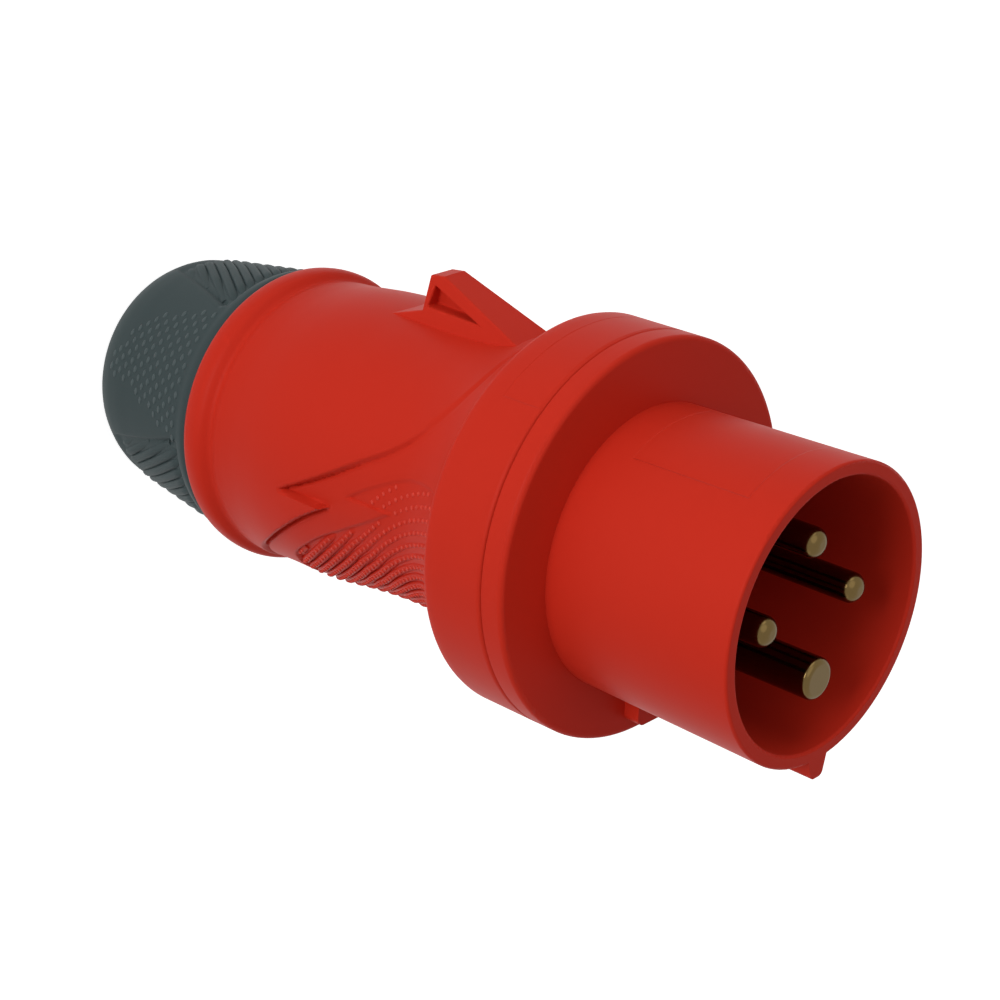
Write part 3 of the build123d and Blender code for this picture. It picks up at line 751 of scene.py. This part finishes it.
def makeLug():
    low, high, pocketHalf = lug["baseReach"], lug["topReach"], lug["pocketHalf"]

    def halfAt(reach):
        return lug["topHalf"] + (lug["baseHalf"] - lug["topHalf"]) * (high - reach) / (high - low)

    body = prism("catchLug", lug["outline"], halfAt)
    outwardNormals(body)
    cutters = []
    for side in (-1, 1):
        shift = side * (lug["web"] / 2 + pocketHalf)
        cutter = prism("pocketCutter", lug["pocket"], lambda reach: pocketHalf, shift)
        outwardNormals(cutter)
        cut = body.modifiers.new("pocket", "BOOLEAN")
        cut.object = cutter
        cut.solver = "EXACT"
        cutters.append(cutter)
    bevel = body.modifiers.new("edges", "BEVEL")
    bevel.width = lug["bevel"] * mm
    bevel.segments = 3
    bevel.limit_method = "ANGLE"
    bpy.context.view_layer.update()
    bakeModifiers(body)
    for cutter in cutters:
        bpy.data.objects.remove(cutter)
    finishPiece(body, "red_plastic", "housing")
    return body


thread = {
    # the gland neck's ridge, at the lead with which the nut travels
    "radius": 18.95,
    "rearZ": 17.4,
    "frontZ": 33.0,
    "pitch": 3.0,
    "ridgeRadius": 0.5,
    # how far the ridge sinks at its ends, and over which turn in degrees
    "endSink": 0.55,
    "endTurn": 30,
}


def makeThread():
    turns = (thread["frontZ"] - thread["rearZ"]) / thread["pitch"]
    turn = np.linspace(0, turns * 2 * math.pi, int(turns * 72))
    fromEnd = np.degrees(np.minimum(turn, turn[-1] - turn))
    fullHeight = ramp(fromEnd - thread["endTurn"] / 2, thread["endTurn"])
    radius = thread["radius"] - thread["endSink"] * (1 - fullHeight)
    heights = thread["rearZ"] + turn / (2 * math.pi) * thread["pitch"]
    ridge = [place(radius, turn, heights)]
    return makeBars("neckThread", ridge, thread["ridgeRadius"], "red_plastic", "housing", 8)


print("rear housing")
housingShell = makeHousing()
makePads()
makeLug()
makeThread()
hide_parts("rear_housing")

# Gland nut
nut = {
    "frontZ": 34.4,
    # height and radius of the outside
    "skin": [
        (0.0, 16.8), (0.25, 18.0), (0.9, 19.4), (2.0, 20.5), (3.5, 21.4), (5.5, 22.25), (9.0, 23.1),
        (14.0, 23.75), (20.0, 24.5), (26.0, 25.25), (31.0, 25.88), (33.9, 26.24), (34.4, 26.0),
    ],
    # radius and height of the rows of the mouth, then radius and rear end of the bore
    "mouth": [(9.9, 0.0), (9.6, 0.3), (9.6, 5.4), (16.9, 5.4), (16.9, 14.0)],
    "boreRadius": 19.72,
    "boreRearZ": 14.0,
    # heights of the rows that round the front and the rear edge
    "frontRows": [34.4, 34.15, 33.9],
    "rearRows": [5.5, 4.5, 3.5, 2.7, 2.0, 1.4, 0.9, 0.5, 0.25, 0.08, 0.0],
    "columns": 400,
    "rowStep": 0.4,
    "zones": 2,
    "zoneMiddle": -29.7,
    "zoneHalfRear": 45.3,
    "zoneHalfFront": 58.4,
    "zoneRearZ": 10.4,
    "zoneFrontZ": 29.0,
    "zoneDepth": 0.62,
    # height and softness of a zone's rear and front end
    "zoneRearEnd": (7.0, 4.0),
    "zoneFrontEnd": (31.0, 1.2),
    "ribStep": 3.05,
    "ribSlant": 0.72,
    "ribRadius": 1.0,
    # heights from, to and between the points of a rib's line, and range of the ribs' numbers
    "ribHeights": (4.0, 31.0, 0.6),
    "ribRange": (-13, 8),
    "chevronZ": 8.6,
    "ribMargin": 0.7,
    # how far the ribs sink at their ends and at the chevron's tip
    "endSink": 0.6,
    "tipSink": 0.5,
    "dotStep": 1.63,
    "dotTurn": 6.0,
    "dotSize": (1.5, 1.0, 0.34),
    # how much the dots' sizes vary, and how far they lean back with the cone
    "dotSpread": 0.05,
    "dotLean": 0.12,
    "seed": 5,
}
# Dotted zone, as height and degrees from the middle of a ribbed zone
dotZone = [
    (6.5, 92), (9, 86), (14, 73), (20, 68.5), (28, 63.5), (32.0, 64.5), (32.0, 121), (29.3, 121),
    (24, 117), (18, 111), (12, 107), (6.5, 105),
]


def zoneTurn(turn):
    # Degrees from the middle of the nearest ribbed zone
    width = 360 / nut["zones"]
    return (np.degrees(turn) - nut["zoneMiddle"] + width / 2) % width - width / 2


def zoneHalf(height):
    part = (height - nut["zoneRearZ"]) / (nut["zoneFrontZ"] - nut["zoneRearZ"])
    return nut["zoneHalfRear"] + (nut["zoneHalfFront"] - nut["zoneHalfRear"]) * part


def nutRadius(height, turn):
    skin = smoothThrough(nut["skin"], height)
    across = zoneTurn(turn)
    toEdge = (zoneHalf(height) - np.abs(across)) * math.radians(1) * skin
    rearEnd, rearSoft = nut["zoneRearEnd"]
    frontEnd, frontSoft = nut["zoneFrontEnd"]
    ends = ramp(height - rearEnd, rearSoft) * ramp(frontEnd - height, frontSoft)
    zone = ramp(toEdge, 0.8) * ends * nut["zoneDepth"]
    # Crease along the zone's edge, deepening to a notch at its front end
    deepen = np.clip((height - 9) / 20, 0, 1) ** 2
    crease = np.exp(-((toEdge / (0.35 + 0.5 * deepen)) ** 2)) * ramp(29.6 - height, 1.0)
    crease = crease * (0.12 + 0.55 * deepen) * ramp(height - 9.0, 3.0)
    return skin - zone - crease


def makeNut():
    columns = nut["columns"]
    turn = np.arange(columns) / columns * 2 * math.pi
    middleRows = np.arange(33.5, 6.0, -nut["rowStep"])
    heights = np.concatenate((nut["frontRows"], middleRows, nut["rearRows"]))
    grid, turns = np.meshgrid(heights, turn, indexing="ij")
    rows = list(zip(nutRadius(grid, turns), heights))
    rows += nut["mouth"] + [(nut["boreRadius"], nut["boreRearZ"]), (nut["boreRadius"], nut["frontZ"])]
    piece = ringedSolid("nutShell", rows, turn)
    sharpen(piece, 50)
    finishPiece(piece, "grey_plastic", "nut")
    return piece


def makeNutRibs():
    # Chevron ribs: each arm leaves the zone's middle and runs forwards to its edge
    wires = []
    heights = np.arange(*nut["ribHeights"])
    skin = smoothThrough(nut["skin"], heights)
    for zone in range(nut["zones"]):
        middle = nut["zoneMiddle"] + zone * 360 / nut["zones"]
        for side in (-1, 1):
            for rib in range(*nut["ribRange"]):
                along = heights - nut["chevronZ"] - rib * nut["ribStep"]
                across = np.degrees(along * nut["ribSlant"] / skin)
                room = (zoneHalf(heights) - across) * math.radians(1) * skin
                keep = (across >= -1) & (room > nut["ribMargin"]) & (heights > 6.6)
                if keep.sum() < 3:
                    continue
                turn = np.radians(middle + side * across[keep])
                ends = np.minimum(room[keep] - nut["ribMargin"], nut["zoneFrontEnd"][0] - heights[keep])
                sink = nut["endSink"] * (1 - ramp(ends - 1.4, 3.0))
                sink = sink + nut["tipSink"] * (1 - ramp(heights[keep] - nut["chevronZ"], 3.2))
                wires.append(place(skin[keep] - nut["ribRadius"] - sink, turn, heights[keep]))
    return makeBars("nutRibs", wires, nut["ribRadius"], "grey_plastic", "nut", 14)


def makeNutDots():
    points, outward, along = [], [], []
    middle = nut["zoneMiddle"]
    for row, height in enumerate(np.arange(7.2, 31.6, nut["dotStep"])):
        for column in range(int(360 / nut["dotTurn"])):
            degrees = (column + 0.5 * (row % 2)) * nut["dotTurn"]
            across = (degrees - middle) % (360 / nut["zones"])
            if insideBy(dotZone, np.array(height), np.array(across)) < 0.5:
                continue
            turn = math.radians(degrees)
            radius = float(nutRadius(np.array(height), np.array(turn)))
            points.append(place(np.array(radius), np.array(turn), height))
            outward.append((math.sin(turn), -math.cos(turn), -nut["dotLean"]))
            along.append((math.cos(turn), math.sin(turn), 0.0))
    size, seed, spread = nut["dotSize"], nut["seed"], nut["dotSpread"]
    return makeDots("nutDots", points, outward, along, size, "grey_plastic", "nut", seed, spread)


print("gland nut")
nutShell = makeNut()
makeNutRibs()
makeNutDots()
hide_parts("gland_nut")

scene = bpy.context.scene
scene.view_settings.view_transform = "Standard"
